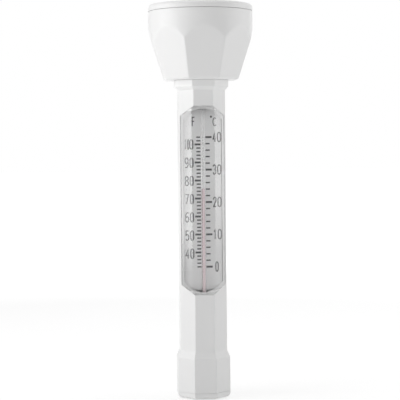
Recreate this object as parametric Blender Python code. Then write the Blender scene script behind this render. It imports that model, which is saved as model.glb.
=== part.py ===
"""A floating thermometer with a faceted float head on an octagonal sleeve.

Behind the sleeve's clear window stand a glass stem and a scale plate. A steel weight in the
foot keeps the float upright. The front faces -Y, the origin is the centre of the foot's
underside, and sizes are in millimetres.
"""

from math import cos, pi, radians, sin, tan

import bmesh
import bpy
from mathutils import Matrix, Vector

METRES_PER_MM = 0.001
WELD_DISTANCE = 1e-5
SHARP_ANGLE = radians(28)
FILLET_STEPS = 3

# Fits
CLEARANCE = 0.3
CUT_THROUGH = 2.0

# Number of sides of faceted and of round pieces
SIDES = 8
HEAD_SIDES = 96
RING_SIDES = 48
STEM_SIDES = 24
THREAD_SIDES = 16

# Sleeve, from the foot up
FOOT_STEP = 1.55
FOOT_HEIGHT = 21.5
FLARE_HEIGHT = 3.4
FLARE_LOWER_RADIUS = 2.0
FLARE_UPPER_RADIUS = 4.0
BODY_ACROSS_FLATS = 24.5
BODY_LENGTH = 137.0
BODY_WALL = 1.85
COLLAR_STEP = 1.65
COLLAR_CHAMFER_HEIGHT = 1.9
COLLAR_HEIGHT = 3.2
COLLAR_FILLET = 0.6
SHOULDER_THICKNESS = 4.4

# Spigot on the sleeve's top, which the float head stands over
SEAT_LAND = 1.6
SPIGOT_WALL = 1.6
SPIGOT_BEAD = 0.7
SPIGOT_BEAD_HEIGHT = 1.6
SPIGOT_TIP = 1.3
GASKET_WIDTH = 2.0
GASKET_THICKNESS = 0.9
LOCK_RING_WIDTH = 4.0
LOCK_RING_HEIGHT = 4.0
LOCK_RING_CHAMFER = 0.6

# Float head and lid
HEAD_DIAMETER = 55.0
HEAD_BAND_HEIGHT = 8.9
HEAD_WALL = 2.3
HEAD_FLOOR = 2.7
HEAD_FACET_HEIGHT = 27.1
HEAD_FOOT_OVERHANG = 5.1
HEAD_FOOT_FILLET = 1.6
LID_THICKNESS = 3.4
LID_EDGE_RADIUS = 1.9
LID_PANEL_DEPTH = 0.6
LID_RIM_WIDTH = 6.0
LID_SHEET = 1.8
LID_SKIRT_LENGTH = 4.6
LID_SKIRT_WALL = 2.0
SEAL_SECTION = 1.2
SEAL_INSET = 1.4

# Foot cap
CAP_HEIGHT = 3.2
CAP_EDGE_RADIUS = 2.6
CAP_PLUG_LENGTH = 5.3
CAP_PLUG_CHAMFER = 0.6

# Window and lens
WINDOW_ABOVE_FLARE = 30.0
WINDOW_BELOW_CLIP = 0.9
WINDOW_SIDE_LAND = 0.65
WINDOW_FLAT_INSET = 0.17
WINDOW_CORNER_HEIGHT = 5.0
WINDOW_LEDGE = 0.1
LENS_SINK = 0.1
LENS_WALL = 1.9
LENS_NOTCH_CLEARANCE = 0.6

# Scale plate
PLATE_BEHIND_LENS = 0.8
PLATE_THICKNESS = 1.4
PLATE_SIDE_GAP = 0.5
CARRIER_THICKNESS = 5.0
SLOT_DEPTH = 2.5

# Glass stem and the spirit in it
STEM_DIAMETER = 3.0
STEM_BORE = 1.5
BULB_DIAMETER = 5.2
BULB_LENGTH = 17.5
BULB_WALL = 0.7
BULB_SHOULDER = 2.5
BULB_TIP_FLAT = 0.26
BULB_ABOVE_PLUG = 2.0
STEM_INTO_CARRIER = 2.7
THREAD_GAP = 0.15
THREAD_SPLIT = 0.12
UPPER_THREAD_LENGTH = 50.0
THREAD_OVERLAP = 19.0
THREAD_ABOVE_BULB = 3.4
SPIRIT_WELL_DEPTH = 10.0
SCALE_TOP_READING = 40
SCALE_ZERO_ABOVE_WINDOW = 14.2
SCALE_TOP_BELOW_WINDOW = 16.3
REST_READING = 24.2

# Rubber and clips that hold the stem
STEM_CAP_WALL = 0.7
BUSH_WALL = 1.2
BUSH_FLANGE_WIDTH = 0.8
BUSH_FLANGE_THICKNESS = 1.0
CLIP_HEIGHT = 2.4
CLIP_WALL = 0.7
CLIP_FOOT_LENGTH = 2.6
CLIP_FOOT_THICKNESS = 0.8
CLIP_ARC_STEPS = 10
PEG_DIAMETER = 1.4
PEG_PROUD = 0.6
LOWER_CLIP_ABOVE_BUSH = 8.0

# Ballast
BALLAST_ABOVE_BULB = 1.3
BALLAST_CHAMFER = 1.0

# Heights worked out from the sizes above
FLARE_TOP = FOOT_HEIGHT + FLARE_HEIGHT
BODY_TOP = FLARE_TOP + BODY_LENGTH
SLEEVE_BOTTOM = CAP_HEIGHT + CLEARANCE
SLEEVE_TOP = BODY_TOP + COLLAR_CHAMFER_HEIGHT + COLLAR_HEIGHT
SHOULDER = SLEEVE_TOP - SHOULDER_THICKNESS
HEAD_BOTTOM = SLEEVE_TOP + CLEARANCE
HEAD_FLOOR_TOP = HEAD_BOTTOM + HEAD_FLOOR
HEAD_TOP = HEAD_BOTTOM + HEAD_FACET_HEIGHT + HEAD_BAND_HEIGHT
LID_BOTTOM = HEAD_TOP + CLEARANCE
LID_TOP = LID_BOTTOM + LID_THICKNESS
PLUG_TOP = CAP_HEIGHT + CAP_PLUG_LENGTH
BULB_BOTTOM = PLUG_TOP + BULB_ABOVE_PLUG
BULB_TOP = BULB_BOTTOM + BULB_LENGTH
BALLAST_BOTTOM = PLUG_TOP + CLEARANCE
BALLAST_TOP = BULB_TOP + BULB_SHOULDER + BALLAST_ABOVE_BULB
LOWER_CARRIER_BOTTOM = BALLAST_TOP + CLEARANCE
LOWER_CARRIER_TOP = LOWER_CARRIER_BOTTOM + CARRIER_THICKNESS
UPPER_CARRIER_TOP = SHOULDER - CLEARANCE
UPPER_CARRIER_BOTTOM = UPPER_CARRIER_TOP - CARRIER_THICKNESS
PLATE_BOTTOM = LOWER_CARRIER_TOP - SLOT_DEPTH + CLEARANCE
PLATE_TOP = UPPER_CARRIER_BOTTOM + SLOT_DEPTH - CLEARANCE
STEM_TOP = UPPER_CARRIER_BOTTOM + STEM_INTO_CARRIER
UPPER_CLIP_HEIGHT = UPPER_CARRIER_BOTTOM - CLEARANCE - CLIP_HEIGHT / 2
WINDOW_BOTTOM = FLARE_TOP + WINDOW_ABOVE_FLARE
WINDOW_TOP = UPPER_CLIP_HEIGHT - CLIP_HEIGHT / 2 - WINDOW_BELOW_CLIP
SCALE_ZERO_HEIGHT = WINDOW_BOTTOM + SCALE_ZERO_ABOVE_WINDOW
SCALE_TOP_HEIGHT = WINDOW_TOP - SCALE_TOP_BELOW_WINDOW
DEGREE_PITCH = (SCALE_TOP_HEIGHT - SCALE_ZERO_HEIGHT) / SCALE_TOP_READING
READING_HEIGHT = SCALE_ZERO_HEIGHT + DEGREE_PITCH * REST_READING

# Half widths and radii worked out from the sizes above
BODY_APOTHEM = BODY_ACROSS_FLATS / 2
FOOT_APOTHEM = BODY_APOTHEM + FOOT_STEP
COLLAR_APOTHEM = BODY_APOTHEM + COLLAR_STEP
BORE_APOTHEM = BODY_APOTHEM - BODY_WALL
LOOSE_APOTHEM = BORE_APOTHEM - CLEARANCE
SEAT_APOTHEM = COLLAR_APOTHEM - SEAT_LAND
SPIGOT_APOTHEM = SEAT_APOTHEM - GASKET_WIDTH - 2 * CLEARANCE
NECK_APOTHEM = SPIGOT_APOTHEM + CLEARANCE
HEAD_RADIUS = HEAD_DIAMETER / 2
HEAD_BORE_RADIUS = HEAD_RADIUS - HEAD_WALL
HEAD_FOOT_APOTHEM = COLLAR_APOTHEM + HEAD_FOOT_OVERHANG
LID_SKIRT_RADIUS = HEAD_BORE_RADIUS - CLEARANCE
STEM_RADIUS = STEM_DIAMETER / 2
STEM_BORE_RADIUS = STEM_BORE / 2
BULB_RADIUS = BULB_DIAMETER / 2
BULB_BORE_RADIUS = BULB_RADIUS - BULB_WALL
THREAD_RADIUS = STEM_BORE_RADIUS - THREAD_GAP
BUSH_INNER_RADIUS = STEM_RADIUS + CLEARANCE
BUSH_RADIUS = BUSH_INNER_RADIUS + BUSH_WALL
BUSH_FLANGE_RADIUS = BUSH_RADIUS + BUSH_FLANGE_WIDTH
BUSH_FLANGE_TOP = LOWER_CARRIER_TOP + CLEARANCE + BUSH_FLANGE_THICKNESS
STEM_CAP_RADIUS = STEM_RADIUS + CLEARANCE + STEM_CAP_WALL
CLIP_INNER_RADIUS = STEM_RADIUS + CLEARANCE
CLIP_RADIUS = CLIP_INNER_RADIUS + CLIP_WALL
CLIP_HALF_WIDTH = CLIP_RADIUS + CLIP_FOOT_LENGTH
PEG_X = CLIP_RADIUS + CLIP_FOOT_LENGTH / 2
PEG_RADIUS = PEG_DIAMETER / 2

# Window, and depths along Y, worked out from the sizes above
WINDOW_HALF_WIDTH = BODY_APOTHEM - WINDOW_SIDE_LAND
WINDOW_HALF_FLAT = BODY_APOTHEM * tan(pi / SIDES) - WINDOW_FLAT_INSET
WINDOW_BACK = -(BORE_APOTHEM * tan(pi / SIDES) + WINDOW_LEDGE)
LENS_BACK = WINDOW_BACK - CLEARANCE
LENS_FRONT = BODY_APOTHEM - LENS_SINK
PLATE_FRONT = LENS_BACK + PLATE_BEHIND_LENS
PLATE_BACK = PLATE_FRONT + PLATE_THICKNESS
STEM_Y = PLATE_FRONT - CLEARANCE - STEM_RADIUS
LOWER_CLIP_HEIGHT = BUSH_FLANGE_TOP + LOWER_CLIP_ABOVE_BUSH

WHITE = (0.87, 0.87, 0.86)
CLEAR = (0.93, 0.95, 0.95)
RUBBER = (0.05, 0.05, 0.055)
STEEL = (0.45, 0.46, 0.48)
CARRIER_WHITE = (0.74, 0.75, 0.76)
GLASS = (0.95, 0.97, 0.97)
RED = (0.68, 0.04, 0.06)


def clear_scene():
    for item in list(bpy.data.objects):
        bpy.data.objects.remove(item, do_unlink=True)


def make_material(name, colour, roughness, metallic=0.0, transmission=0.0):
    material = bpy.data.materials.new(name)
    material.use_nodes = True
    shader = material.node_tree.nodes["Principled BSDF"]
    shader.inputs["Base Color"].default_value = (*colour, 1.0)
    shader.inputs["Roughness"].default_value = roughness
    shader.inputs["Metallic"].default_value = metallic
    shader.inputs["Transmission Weight"].default_value = transmission
    return material


def outline_with_fillets(corners):
    """Points of an outline, with an arc at each corner that gives a radius as its third value."""
    points = [Vector(corner[:2]) for corner in corners]
    outline = []
    for index, corner in enumerate(corners):
        here = points[index]
        if len(corner) == 2:
            outline.append(here)
            continue
        radius = corner[2]
        before = (points[index - 1] - here).normalized()
        after = (points[(index + 1) % len(points)] - here).normalized()
        half_angle = before.angle(after) / 2
        centre = here + (before + after).normalized() * (radius / sin(half_angle))
        start = here + before * (radius / tan(half_angle)) - centre
        turn = pi - 2 * half_angle
        if before.cross(after) > 0:
            turn = -turn
        for step in range(FILLET_STEPS + 1):
            outline.append(centre + Matrix.Rotation(turn * step / FILLET_STEPS, 2) @ start)
    return outline


def turned(corners, sides, flats=False):
    """Turn (radius, height) corners round Z; with flats, the radius is measured to the flats."""
    outline = outline_with_fillets(corners)
    stretch = 1 / cos(pi / sides) if flats else 1.0
    half_side = pi / sides
    shape = bmesh.new()
    ring = []
    for radius, height in outline:
        reach = radius * stretch
        ring.append(shape.verts.new((reach * sin(half_side), -reach * cos(half_side), height)))
    pairs = list(zip(ring, ring[1:]))
    if outline[0][0] > 0:
        pairs.append((ring[-1], ring[0]))
    edges = [shape.edges.new(pair) for pair in pairs]
    bmesh.ops.spin(
        shape, geom=ring + edges, cent=(0, 0, 0), axis=(0, 0, 1), angle=2 * pi, steps=sides, use_merge=True
    )
    bmesh.ops.remove_doubles(shape, verts=shape.verts[:], dist=WELD_DISTANCE)
    return shape


def extruded(outline, depth):
    """Extrude a closed outline of 3-D points by the vector depth."""
    shape = bmesh.new()
    face = shape.faces.new([shape.verts.new(point) for point in outline])
    result = bmesh.ops.extrude_face_region(shape, geom=[face])
    moved = [item for item in result["geom"] if isinstance(item, bmesh.types.BMVert)]
    bmesh.ops.translate(shape, vec=depth, verts=moved)
    return shape


def block(low, high):
    """A box between two corners."""
    (x0, y0, z0), (x1, y1, z1) = low, high
    return extruded([(x0, y0, z0), (x1, y0, z0), (x1, y1, z0), (x0, y1, z0)], (0, 0, z1 - z0))


def rod(radius, bottom, top, sides):
    return turned([(0, top), (radius, top), (radius, bottom), (0, bottom)], sides)


def add_object(name, shape, material=None, at=(0, 0, 0), parent=None):
    """Make an object from a shape in millimetres, standing at a place in its parent's frame."""
    bmesh.ops.recalc_face_normals(shape, faces=shape.faces[:])
    shape.transform(Matrix.Scale(METRES_PER_MM, 4))
    mesh = bpy.data.meshes.new(name)
    shape.to_mesh(mesh)
    shape.free()
    mesh.shade_smooth()
    mesh.set_sharp_from_angle(angle=SHARP_ANGLE)
    item = bpy.data.objects.new(name, mesh)
    bpy.context.scene.collection.objects.link(item)
    if material:
        mesh.materials.append(material)
    item.parent = parent
    item.location = Vector(at) * METRES_PER_MM
    return item


def combine(piece, operation, name, shape, at=(0, 0, 0)):
    """Cut, join or intersect a piece with a hidden shape, which is given back."""
    tool = add_object(name, shape, at=at)
    tool.hide_render = True
    tool.display_type = "WIRE"
    modifier = piece.modifiers.new(name, "BOOLEAN")
    modifier.operation = operation
    modifier.solver = "EXACT"
    modifier.object = tool
    return tool


def window_outline(inset, depth):
    """The window's outline seen from the front, moved in by inset, at a depth along Y."""
    low = WINDOW_BOTTOM + WINDOW_CORNER_HEIGHT
    high = WINDOW_TOP - WINDOW_CORNER_HEIGHT
    corners = [
        Vector((-WINDOW_HALF_FLAT, WINDOW_BOTTOM)),
        Vector((WINDOW_HALF_FLAT, WINDOW_BOTTOM)),
        Vector((WINDOW_HALF_WIDTH, low)),
        Vector((WINDOW_HALF_WIDTH, high)),
        Vector((WINDOW_HALF_FLAT, WINDOW_TOP)),
        Vector((-WINDOW_HALF_FLAT, WINDOW_TOP)),
        Vector((-WINDOW_HALF_WIDTH, high)),
        Vector((-WINDOW_HALF_WIDTH, low)),
    ]
    outline = []
    for index, corner in enumerate(corners):
        before = (corner - corners[index - 1]).normalized()
        after = (corners[(index + 1) % len(corners)] - corner).normalized()
        inward = Vector((-before.y - after.y, before.x + after.x))
        moved = corner + inward * (inset / (1 + before.dot(after)))
        outline.append((moved.x, depth, moved.y))
    return outline


def window_prism(inset, back):
    """A prism through the window, from ahead of the sleeve to a plane behind it."""
    front = -BODY_APOTHEM - CUT_THROUGH
    return extruded(window_outline(inset, front), (0, back - front, 0))


def octagon_rod(apothem, bottom, top):
    return turned([(0, top), (apothem, top), (apothem, bottom), (0, bottom)], SIDES, flats=True)


def make_sleeve(material):
    """Octagonal tube with a flared foot, a collar, a spigot on top and a window in front."""
    seat_floor = SLEEVE_TOP - GASKET_THICKNESS - CLEARANCE
    bead = SPIGOT_APOTHEM + SPIGOT_BEAD
    bead_bottom = HEAD_FLOOR_TOP + LOCK_RING_HEIGHT + 2 * CLEARANCE
    bead_top = bead_bottom + SPIGOT_BEAD_HEIGHT
    spigot_top = bead_top + SPIGOT_TIP
    spigot_bore = SPIGOT_APOTHEM - SPIGOT_WALL
    shape = turned(
        [
            (SPIGOT_APOTHEM, spigot_top),
            (bead, bead_top),
            (bead, bead_bottom),
            (SPIGOT_APOTHEM, bead_bottom),
            (SPIGOT_APOTHEM, seat_floor),
            (SEAT_APOTHEM, seat_floor),
            (SEAT_APOTHEM, SLEEVE_TOP),
            (COLLAR_APOTHEM, SLEEVE_TOP),
            (COLLAR_APOTHEM, SLEEVE_TOP - COLLAR_HEIGHT, COLLAR_FILLET),
            (BODY_APOTHEM, BODY_TOP, COLLAR_FILLET),
            (BODY_APOTHEM, FLARE_TOP, FLARE_UPPER_RADIUS),
            (FOOT_APOTHEM, FOOT_HEIGHT, FLARE_LOWER_RADIUS),
            (FOOT_APOTHEM, SLEEVE_BOTTOM),
            (BORE_APOTHEM, SLEEVE_BOTTOM),
            (BORE_APOTHEM, SHOULDER),
            (spigot_bore, SHOULDER),
            (spigot_bore, spigot_top),
        ],
        SIDES,
        flats=True,
    )
    sleeve = add_object("body_sleeve", shape, material)
    combine(sleeve, "DIFFERENCE", "window_cut", window_prism(0, WINDOW_BACK))


def make_neck_fittings(rubber, plastic):
    """Flat gasket under the float head, and the ring that holds the head on the spigot."""
    gasket_top = SLEEVE_TOP
    gasket_bottom = gasket_top - GASKET_THICKNESS
    gasket = [
        (NECK_APOTHEM, gasket_top),
        (NECK_APOTHEM + GASKET_WIDTH, gasket_top),
        (NECK_APOTHEM + GASKET_WIDTH, gasket_bottom),
        (NECK_APOTHEM, gasket_bottom),
    ]
    add_object("neck_gasket", turned(gasket, SIDES, flats=True), rubber)

    ring_bottom = HEAD_FLOOR_TOP + CLEARANCE
    ring_top = ring_bottom + LOCK_RING_HEIGHT
    ring_apothem = NECK_APOTHEM + LOCK_RING_WIDTH
    ring = [
        (NECK_APOTHEM, ring_top),
        (ring_apothem - LOCK_RING_CHAMFER, ring_top),
        (ring_apothem, ring_top - LOCK_RING_CHAMFER),
        (ring_apothem, ring_bottom),
        (NECK_APOTHEM, ring_bottom),
    ]
    add_object("neck_lock_ring", turned(ring, SIDES, flats=True), plastic)


def facet_apothem(height):
    """Distance from the axis to the head's sloping facets at a height."""
    slope = (HEAD_RADIUS - HEAD_FOOT_APOTHEM) / HEAD_FACET_HEIGHT
    return HEAD_FOOT_APOTHEM + slope * (height - HEAD_BOTTOM)


def make_float_head(material):
    """Hollow drum whose lower part is cut to an octagonal funnel."""
    shape = turned(
        [
            (NECK_APOTHEM, HEAD_TOP),
            (facet_apothem(HEAD_TOP), HEAD_TOP),
            (facet_apothem(HEAD_BOTTOM), HEAD_BOTTOM, HEAD_FOOT_FILLET),
            (NECK_APOTHEM, HEAD_BOTTOM),
        ],
        SIDES,
        flats=True,
    )
    head = add_object("float_head", shape, material)
    drum = rod(HEAD_RADIUS, HEAD_BOTTOM - CUT_THROUGH, HEAD_TOP + CUT_THROUGH, HEAD_SIDES)
    combine(head, "INTERSECT", "head_drum_form", drum)

    cavity_top = HEAD_TOP + CUT_THROUGH
    funnel = turned(
        [
            (0, cavity_top),
            (facet_apothem(cavity_top) - HEAD_WALL, cavity_top),
            (facet_apothem(HEAD_FLOOR_TOP) - HEAD_WALL, HEAD_FLOOR_TOP),
            (0, HEAD_FLOOR_TOP),
        ],
        SIDES,
        flats=True,
    )
    cavity = combine(head, "DIFFERENCE", "head_cavity_cut", funnel)
    bore = rod(HEAD_BORE_RADIUS, HEAD_BOTTOM, cavity_top + CUT_THROUGH, HEAD_SIDES)
    combine(cavity, "INTERSECT", "head_bore_form", bore)


def make_lid(material, rubber):
    """Round lid with a sunk panel, and a skirt that carries a seal in the head's bore."""
    skirt_bottom = LID_BOTTOM - LID_SKIRT_LENGTH
    skirt_inner = LID_SKIRT_RADIUS - LID_SKIRT_WALL
    panel_radius = HEAD_RADIUS - LID_RIM_WIDTH
    panel_top = LID_TOP - LID_PANEL_DEPTH
    panel_bottom = panel_top - LID_SHEET
    seal_top = LID_BOTTOM - SEAL_INSET
    seal_bottom = seal_top - SEAL_SECTION
    groove_radius = LID_SKIRT_RADIUS - SEAL_SECTION
    lid = turned(
        [
            (0, panel_top),
            (panel_radius, panel_top),
            (panel_radius + LID_PANEL_DEPTH, LID_TOP),
            (HEAD_RADIUS, LID_TOP, LID_EDGE_RADIUS),
            (HEAD_RADIUS, LID_BOTTOM),
            (LID_SKIRT_RADIUS, LID_BOTTOM),
            (LID_SKIRT_RADIUS, seal_top + CLEARANCE),
            (groove_radius, seal_top + CLEARANCE),
            (groove_radius, seal_bottom - CLEARANCE),
            (LID_SKIRT_RADIUS, seal_bottom - CLEARANCE),
            (LID_SKIRT_RADIUS, skirt_bottom),
            (skirt_inner, skirt_bottom),
            (skirt_inner, panel_bottom),
            (0, panel_bottom),
        ],
        HEAD_SIDES,
    )
    add_object("float_lid", lid, material)
    seal = [
        (groove_radius + CLEARANCE, seal_top),
        (LID_SKIRT_RADIUS, seal_top),
        (LID_SKIRT_RADIUS, seal_bottom),
        (groove_radius + CLEARANCE, seal_bottom),
    ]
    add_object("lid_seal", turned(seal, RING_SIDES), rubber)


def make_lens(material):
    """Clear faceted cover in the window, hollow behind and notched for the stem."""
    lens = add_object("window_lens", window_prism(CLEARANCE, LENS_BACK), material)
    low = WINDOW_BOTTOM - CUT_THROUGH
    high = WINDOW_TOP + CUT_THROUGH
    combine(lens, "INTERSECT", "lens_facet_form", octagon_rod(LENS_FRONT, low, high))
    hollow = window_prism(CLEARANCE + LENS_WALL, 0)
    cavity = combine(lens, "DIFFERENCE", "lens_cavity_cut", hollow)
    combine(cavity, "INTERSECT", "lens_cavity_form", octagon_rod(LENS_FRONT - LENS_WALL, low, high))
    notch = STEM_RADIUS + LENS_NOTCH_CLEARANCE
    channel = block((-notch, STEM_Y - notch, low), (notch, 0, high))
    combine(lens, "DIFFERENCE", "lens_notch_cut", channel)


def make_foot(material, rubber):
    """Cap that closes the sleeve from below, with a seal round its plug."""
    seal_bottom = SLEEVE_BOTTOM + SEAL_INSET
    seal_top = seal_bottom + SEAL_SECTION
    groove = LOOSE_APOTHEM - SEAL_SECTION
    cap = turned(
        [
            (0, PLUG_TOP),
            (LOOSE_APOTHEM - CAP_PLUG_CHAMFER, PLUG_TOP),
            (LOOSE_APOTHEM, PLUG_TOP - CAP_PLUG_CHAMFER),
            (LOOSE_APOTHEM, seal_top + CLEARANCE),
            (groove, seal_top + CLEARANCE),
            (groove, seal_bottom - CLEARANCE),
            (LOOSE_APOTHEM, seal_bottom - CLEARANCE),
            (LOOSE_APOTHEM, CAP_HEIGHT),
            (FOOT_APOTHEM, CAP_HEIGHT),
            (FOOT_APOTHEM, 0, CAP_EDGE_RADIUS),
            (0, 0),
        ],
        SIDES,
        flats=True,
    )
    add_object("foot_cap", cap, material)
    seal = [
        (groove + CLEARANCE, seal_top),
        (LOOSE_APOTHEM, seal_top),
        (LOOSE_APOTHEM, seal_bottom),
        (groove + CLEARANCE, seal_bottom),
    ]
    add_object("foot_seal", turned(seal, SIDES, flats=True), rubber)


def make_ballast(material):
    """Round steel weight, drilled off centre for the bulb."""
    weight = turned(
        [
            (0, BALLAST_TOP),
            (LOOSE_APOTHEM - BALLAST_CHAMFER, BALLAST_TOP),
            (LOOSE_APOTHEM, BALLAST_TOP - BALLAST_CHAMFER),
            (LOOSE_APOTHEM, BALLAST_BOTTOM + BALLAST_CHAMFER),
            (LOOSE_APOTHEM - BALLAST_CHAMFER, BALLAST_BOTTOM),
            (0, BALLAST_BOTTOM),
        ],
        RING_SIDES,
    )
    ballast = add_object("ballast_weight", weight, material)
    hole = rod(
        BULB_RADIUS + CLEARANCE, BALLAST_BOTTOM - CUT_THROUGH, BALLAST_TOP + CUT_THROUGH, STEM_SIDES
    )
    combine(ballast, "DIFFERENCE", "bulb_hole_cut", hole, at=(0, STEM_Y, 0))


def plate_slot(bottom, top):
    """Room for one end of the scale plate in a carrier."""
    reach = BORE_APOTHEM + CUT_THROUGH
    return block((-reach, PLATE_FRONT - CLEARANCE, bottom), (reach, PLATE_BACK + CLEARANCE, top))


def make_carriers(material):
    """Octagonal discs that hold the plate and the stem at both ends."""
    lower = add_object(
        "lower_carrier", octagon_rod(LOOSE_APOTHEM, LOWER_CARRIER_BOTTOM, LOWER_CARRIER_TOP), material
    )
    lower_slot = plate_slot(LOWER_CARRIER_TOP - SLOT_DEPTH, LOWER_CARRIER_TOP + CUT_THROUGH)
    combine(lower, "DIFFERENCE", "lower_slot_cut", lower_slot)
    bush_hole = rod(
        BUSH_RADIUS + CLEARANCE,
        LOWER_CARRIER_BOTTOM - CUT_THROUGH,
        LOWER_CARRIER_TOP + CUT_THROUGH,
        STEM_SIDES,
    )
    combine(lower, "DIFFERENCE", "bush_hole_cut", bush_hole, at=(0, STEM_Y, 0))

    upper = add_object(
        "upper_carrier", octagon_rod(LOOSE_APOTHEM, UPPER_CARRIER_BOTTOM, UPPER_CARRIER_TOP), material
    )
    upper_slot = plate_slot(UPPER_CARRIER_BOTTOM - CUT_THROUGH, UPPER_CARRIER_BOTTOM + SLOT_DEPTH)
    combine(upper, "DIFFERENCE", "upper_slot_cut", upper_slot)
    cap_hole = rod(
        STEM_CAP_RADIUS + CLEARANCE,
        UPPER_CARRIER_BOTTOM - CUT_THROUGH,
        STEM_TOP + STEM_CAP_WALL + 2 * CLEARANCE,
        STEM_SIDES,
    )
    combine(upper, "DIFFERENCE", "stem_cap_hole_cut", cap_hole, at=(0, STEM_Y, 0))


def make_plate(material):
    """Flat scale plate, notched at both ends for the stem's rubber and drilled for the clips."""
    half_width = BORE_APOTHEM - PLATE_SIDE_GAP
    low_notch = BUSH_FLANGE_RADIUS + CLEARANCE
    low_notch_top = BUSH_FLANGE_TOP + CLEARANCE
    high_notch = STEM_CAP_RADIUS + CLEARANCE
    outline = [
        (-half_width, PLATE_BOTTOM),
        (-low_notch, PLATE_BOTTOM),
        (-low_notch, low_notch_top),
        (low_notch, low_notch_top),
        (low_notch, PLATE_BOTTOM),
        (half_width, PLATE_BOTTOM),
        (half_width, PLATE_TOP),
        (high_notch, PLATE_TOP),
        (high_notch, UPPER_CARRIER_BOTTOM),
        (-high_notch, UPPER_CARRIER_BOTTOM),
        (-high_notch, PLATE_TOP),
        (-half_width, PLATE_TOP),
    ]
    shape = extruded([(x, PLATE_FRONT, z) for x, z in outline], (0, PLATE_THICKNESS, 0))
    plate = add_object("scale_plate", shape, material)
    for label, height in (("lower", LOWER_CLIP_HEIGHT), ("upper", UPPER_CLIP_HEIGHT)):
        for side, x in (("left", -PEG_X), ("right", PEG_X)):
            hole = rod(PEG_RADIUS + CLEARANCE, -CUT_THROUGH, PLATE_THICKNESS + CUT_THROUGH, THREAD_SIDES)
            hole.transform(Matrix.Rotation(-pi / 2, 4, "X"))
            combine(plate, "DIFFERENCE", f"{label}_{side}_peg_cut", hole, at=(x, PLATE_FRONT, height))


def make_clip(name, material, height, stem_axis):
    """Strap over the stem, with two feet on the plate and a peg through it at each foot."""
    plate_gap = STEM_RADIUS
    outline = []
    for step in range(CLIP_ARC_STEPS + 1):
        angle = pi * step / CLIP_ARC_STEPS
        outline.append((CLIP_RADIUS * cos(angle), -CLIP_RADIUS * sin(angle)))
    foot_front = plate_gap - CLIP_FOOT_THICKNESS
    outline += [
        (-CLIP_RADIUS, foot_front),
        (-CLIP_HALF_WIDTH, foot_front),
        (-CLIP_HALF_WIDTH, plate_gap),
        (-CLIP_INNER_RADIUS, plate_gap),
    ]
    for step in range(CLIP_ARC_STEPS + 1):
        angle = pi * (1 - step / CLIP_ARC_STEPS)
        outline.append((CLIP_INNER_RADIUS * cos(angle), -CLIP_INNER_RADIUS * sin(angle)))
    outline += [
        (CLIP_INNER_RADIUS, plate_gap),
        (CLIP_HALF_WIDTH, plate_gap),
        (CLIP_HALF_WIDTH, foot_front),
        (CLIP_RADIUS, foot_front),
    ]
    shape = extruded([(x, y, -CLIP_HEIGHT / 2) for x, y in outline], (0, 0, CLIP_HEIGHT))
    clip = add_object(name, shape, material, at=(0, 0, height), parent=stem_axis)
    peg_end = plate_gap + CLEARANCE + PLATE_THICKNESS + PEG_PROUD
    for side, x in (("left", -PEG_X), ("right", PEG_X)):
        peg = rod(PEG_RADIUS, foot_front + CLIP_FOOT_THICKNESS / 2, peg_end, THREAD_SIDES)
        peg.transform(Matrix.Rotation(-pi / 2, 4, "X"))
        combine(clip, "UNION", f"{name}_{side}_peg", peg, at=(x, STEM_Y, height))


def make_stem(material, stem_axis):
    """Glass stem with a bulb below; its bore is open at the top, under the rubber cap."""
    stem = turned(
        [
            (0, BULB_BOTTOM),
            (BULB_RADIUS, BULB_BOTTOM, BULB_RADIUS - BULB_TIP_FLAT),
            (BULB_RADIUS, BULB_TOP),
            (STEM_RADIUS, BULB_TOP + BULB_SHOULDER),
            (STEM_RADIUS, STEM_TOP),
            (STEM_BORE_RADIUS, STEM_TOP),
            (STEM_BORE_RADIUS, BULB_TOP + BULB_SHOULDER - BULB_WALL),
            (BULB_BORE_RADIUS, BULB_TOP - BULB_WALL),
            (BULB_BORE_RADIUS, BULB_BOTTOM + BULB_WALL, BULB_BORE_RADIUS - BULB_TIP_FLAT),
            (0, BULB_BOTTOM + BULB_WALL),
        ],
        STEM_SIDES,
    )
    add_object("glass_stem", stem, material, parent=stem_axis)


def make_spirit(material, stem_axis):
    """Dyed spirit: a charge in the bulb, and a column in two halves that slide past each other."""
    charge_radius = BULB_BORE_RADIUS - CLEARANCE
    charge_bottom = BULB_BOTTOM + BULB_WALL + CLEARANCE
    charge_top = BULB_TOP - BULB_WALL - CLEARANCE
    well_radius = THREAD_RADIUS + CLEARANCE
    well_bottom = charge_top - SPIRIT_WELL_DEPTH
    charge = turned(
        [
            (0, charge_bottom),
            (charge_radius, charge_bottom, charge_radius - BULB_TIP_FLAT),
            (charge_radius, charge_top),
            (well_radius, charge_top),
            (well_radius, well_bottom),
            (0, well_bottom),
        ],
        STEM_SIDES,
    )
    add_object("bulb_spirit", charge, material, parent=stem_axis)

    upper_bottom = READING_HEIGHT - UPPER_THREAD_LENGTH
    lower_bottom = BULB_TOP + THREAD_ABOVE_BULB
    columns = (
        ("spirit_thread_upper", -1, upper_bottom, READING_HEIGHT),
        ("spirit_thread_lower", 1, lower_bottom, upper_bottom + THREAD_OVERLAP),
    )
    flat = THREAD_SPLIT / 2
    for name, side, bottom, top in columns:
        outline = []
        for step in range(THREAD_SIDES // 2 + 1):
            angle = pi * step / (THREAD_SIDES // 2)
            depth = flat + (THREAD_RADIUS - flat) * sin(angle)
            outline.append((THREAD_RADIUS * cos(angle), side * depth, 0))
        column = extruded(outline, (0, 0, top - bottom))
        add_object(name, column, material, at=(0, 0, bottom), parent=stem_axis)


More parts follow.
